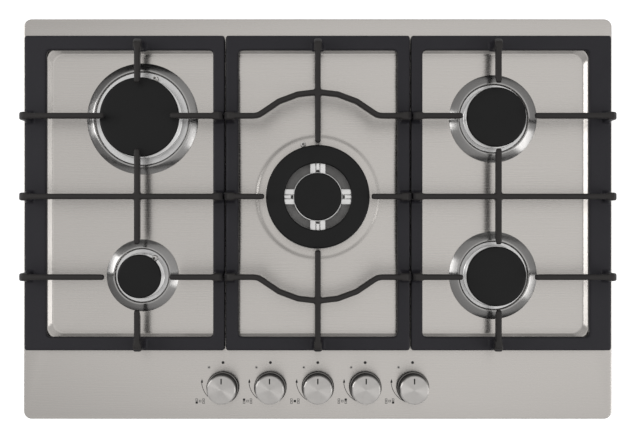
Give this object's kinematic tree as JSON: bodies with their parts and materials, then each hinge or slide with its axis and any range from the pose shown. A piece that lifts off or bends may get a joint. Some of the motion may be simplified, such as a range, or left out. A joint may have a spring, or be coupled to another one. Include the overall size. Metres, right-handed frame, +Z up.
{
  "type": "gas cooktop",
  "caption": "Built-in gas hob: brushed steel plate with cast pan supports, capped burners with trim rings, a triple-ring wok burner in the middle and turn-and-press knobs in front.",
  "frame": {"origin": "centre of the object's base, which is the underside of the bottom tray", "axes": "+X to the right along the width, +Y to the rear, +Z up"},
  "size_m": [0.75, 0.51, 0.1],
  "materials": {
    "plate_steel": "brushed along the width",
    "tray_steel": "galvanised, satin",
    "seal_foam": "matt foam",
    "gland_rubber": "matt",
    "cup_aluminium": "as cast",
    "spreader_aluminium": "cast and turned",
    "cap_enamel": "black satin enamel",
    "trim_steel": "spun and polished",
    "igniter_ceramic": "glazed white ceramic",
    "support_iron": "black satin enamel",
    "knob_metal": "spun face, satin",
    "plug_brass": "turned",
    "spindle_steel": "turned",
    "tap_aluminium": "die cast",
    "pipe_aluminium": "drawn",
    "rail_steel": "galvanised",
    "inlet_brass": "turned",
    "generator_plastic": "moulded"
  },
  "bodies": {
    "cooktop": {"top_plate": "plate_steel", "rim_seal": "seal_foam", "bottom_tray": "tray_steel", "burner_cup_front_left": "cup_aluminium", "burner_cup_rear_left": "cup_aluminium", "burner_cup_rear_right": "cup_aluminium", "burner_cup_front_right": "cup_aluminium", "burner_cup_centre": "cup_aluminium", "trim_ring_front_left": "trim_steel", "trim_ring_rear_left": "trim_steel", "trim_ring_rear_right": "trim_steel", "trim_ring_front_right": "trim_steel", "igniter_front_left": "igniter_ceramic", "igniter_rear_left": "igniter_ceramic", "igniter_rear_right": "igniter_ceramic", "igniter_front_right": "igniter_ceramic", "igniter_centre": "igniter_ceramic", "tap_body_front_left": "tap_aluminium", "tap_body_rear_left": "tap_aluminium", "tap_body_centre": "tap_aluminium", "tap_body_rear_right": "tap_aluminium", "tap_body_front_right": "tap_aluminium", "gas_manifold_rail": "rail_steel", "gas_inlet_stub": "inlet_brass", "feed_pipe_front_left": "pipe_aluminium", "feed_pipe_rear_left": "pipe_aluminium", "feed_pipe_centre": "pipe_aluminium", "feed_pipe_rear_right": "pipe_aluminium", "feed_pipe_front_right": "pipe_aluminium", "spark_generator": "generator_plastic", "cable_gland": "gland_rubber"},
    "support_left": {"pan_support_left": "support_iron"},
    "support_centre": {"pan_support_centre": "support_iron"},
    "support_right": {"pan_support_right": "support_iron"},
    "spreader_front_left": {"flame_spreader_front_left": "spreader_aluminium"},
    "spreader_rear_left": {"flame_spreader_rear_left": "spreader_aluminium"},
    "spreader_rear_right": {"flame_spreader_rear_right": "spreader_aluminium"},
    "spreader_front_right": {"flame_spreader_front_right": "spreader_aluminium"},
    "spreader_centre": {"flame_spreader_centre": "spreader_aluminium"},
    "cap_front_left": {"burner_cap_front_left": "cap_enamel"},
    "cap_rear_left": {"burner_cap_rear_left": "cap_enamel"},
    "cap_rear_right": {"burner_cap_rear_right": "cap_enamel"},
    "cap_front_right": {"burner_cap_front_right": "cap_enamel"},
    "cap_centre_ring": {"burner_cap_centre_ring": "cap_enamel"},
    "cap_centre_inner": {"burner_cap_centre_inner": "cap_enamel"},
    "plug_front_left": {"tap_plug_front_left": "plug_brass"},
    "knob_front_left": {"knob_front_left": "knob_metal", "tap_spindle_front_left": "spindle_steel"},
    "plug_rear_left": {"tap_plug_rear_left": "plug_brass"},
    "knob_rear_left": {"knob_rear_left": "knob_metal", "tap_spindle_rear_left": "spindle_steel"},
    "plug_centre": {"tap_plug_centre": "plug_brass"},
    "knob_centre": {"knob_centre": "knob_metal", "tap_spindle_centre": "spindle_steel"},
    "plug_rear_right": {"tap_plug_rear_right": "plug_brass"},
    "knob_rear_right": {"knob_rear_right": "knob_metal", "tap_spindle_rear_right": "spindle_steel"},
    "plug_front_right": {"tap_plug_front_right": "plug_brass"},
    "knob_front_right": {"knob_front_right": "knob_metal", "tap_spindle_front_right": "spindle_steel"}
  },
  "joints": [
    {"name": "lift_support_left", "type": "slide", "parent": "cooktop", "child": "support_left", "axis": [0, 0, 1], "range_m": [0, 0.06]},
    {"name": "lift_support_centre", "type": "slide", "parent": "cooktop", "child": "support_centre", "axis": [0, 0, 1], "range_m": [0, 0.06]},
    {"name": "lift_support_right", "type": "slide", "parent": "cooktop", "child": "support_right", "axis": [0, 0, 1], "range_m": [0, 0.06]},
    {"name": "lift_spreader_front_left", "type": "slide", "parent": "cooktop", "child": "spreader_front_left", "axis": [0, 0, 1], "range_m": [0, 0.04]},
    {"name": "lift_spreader_rear_left", "type": "slide", "parent": "cooktop", "child": "spreader_rear_left", "axis": [0, 0, 1], "range_m": [0, 0.004]},
    {"name": "lift_spreader_rear_right", "type": "slide", "parent": "cooktop", "child": "spreader_rear_right", "axis": [0, 0, 1], "range_m": [0, 0.004]},
    {"name": "lift_spreader_front_right", "type": "slide", "parent": "cooktop", "child": "spreader_front_right", "axis": [0, 0, 1], "range_m": [0, 0.004]},
    {"name": "lift_spreader_centre", "type": "slide", "parent": "cooktop", "child": "spreader_centre", "axis": [0, 0, 1], "range_m": [0, 0.004]},
    {"name": "lift_cap_front_left", "type": "slide", "parent": "spreader_front_left", "child": "cap_front_left", "axis": [0, 0, 1], "range_m": [0, 0.04]},
    {"name": "lift_cap_rear_left", "type": "slide", "parent": "spreader_rear_left", "child": "cap_rear_left", "axis": [0, 0, 1], "range_m": [0, 0.004]},
    {"name": "lift_cap_rear_right", "type": "slide", "parent": "spreader_rear_right", "child": "cap_rear_right", "axis": [0, 0, 1], "range_m": [0, 0.04]},
    {"name": "lift_cap_front_right", "type": "slide", "parent": "spreader_front_right", "child": "cap_front_right", "axis": [0, 0, 1], "range_m": [0, 0.04]},
    {"name": "lift_cap_centre_ring", "type": "slide", "parent": "spreader_centre", "child": "cap_centre_ring", "axis": [0, 0, 1], "range_m": [0, 0.004]},
    {"name": "lift_cap_centre_inner", "type": "slide", "parent": "spreader_centre", "child": "cap_centre_inner", "axis": [0, 0, 1], "range_m": [0, 0.04]},
    {"name": "turn_front_left", "type": "hinge", "parent": "cooktop", "child": "plug_front_left", "pos_m": [-0.1208, -0.214, 0.06], "axis": [0, 0, 1], "range_deg": [0, 210]},
    {"name": "press_front_left", "type": "slide", "parent": "plug_front_left", "child": "knob_front_left", "axis": [0, 0, -1], "range_m": [0, 0.004], "stiffness_N_per_m": 800, "springref_m": -0.004},
    {"name": "turn_rear_left", "type": "hinge", "parent": "cooktop", "child": "plug_rear_left", "pos_m": [-0.0604, -0.214, 0.06], "axis": [0, 0, 1], "range_deg": [0, 210]},
    {"name": "press_rear_left", "type": "slide", "parent": "plug_rear_left", "child": "knob_rear_left", "axis": [0, 0, -1], "range_m": [0, 0.004], "stiffness_N_per_m": 800, "springref_m": -0.004},
    {"name": "turn_centre", "type": "hinge", "parent": "cooktop", "child": "plug_centre", "pos_m": [0, -0.214, 0.06], "axis": [0, 0, 1], "range_deg": [0, 210]},
    {"name": "press_centre", "type": "slide", "parent": "plug_centre", "child": "knob_centre", "axis": [0, 0, -1], "range_m": [0, 0.004], "stiffness_N_per_m": 800, "springref_m": -0.004},
    {"name": "turn_rear_right", "type": "hinge", "parent": "cooktop", "child": "plug_rear_right", "pos_m": [0.0604, -0.214, 0.06], "axis": [0, 0, 1], "range_deg": [0, 210]},
    {"name": "press_rear_right", "type": "slide", "parent": "plug_rear_right", "child": "knob_rear_right", "axis": [0, 0, -1], "range_m": [0, 0.004], "stiffness_N_per_m": 800, "springref_m": -0.004},
    {"name": "turn_front_right", "type": "hinge", "parent": "cooktop", "child": "plug_front_right", "pos_m": [0.1208, -0.214, 0.06], "axis": [0, 0, 1], "range_deg": [0, 210]},
    {"name": "press_front_right", "type": "slide", "parent": "plug_front_right", "child": "knob_front_right", "axis": [0, 0, -1], "range_m": [0, 0.004], "stiffness_N_per_m": 800, "springref_m": -0.004}
  ]
}
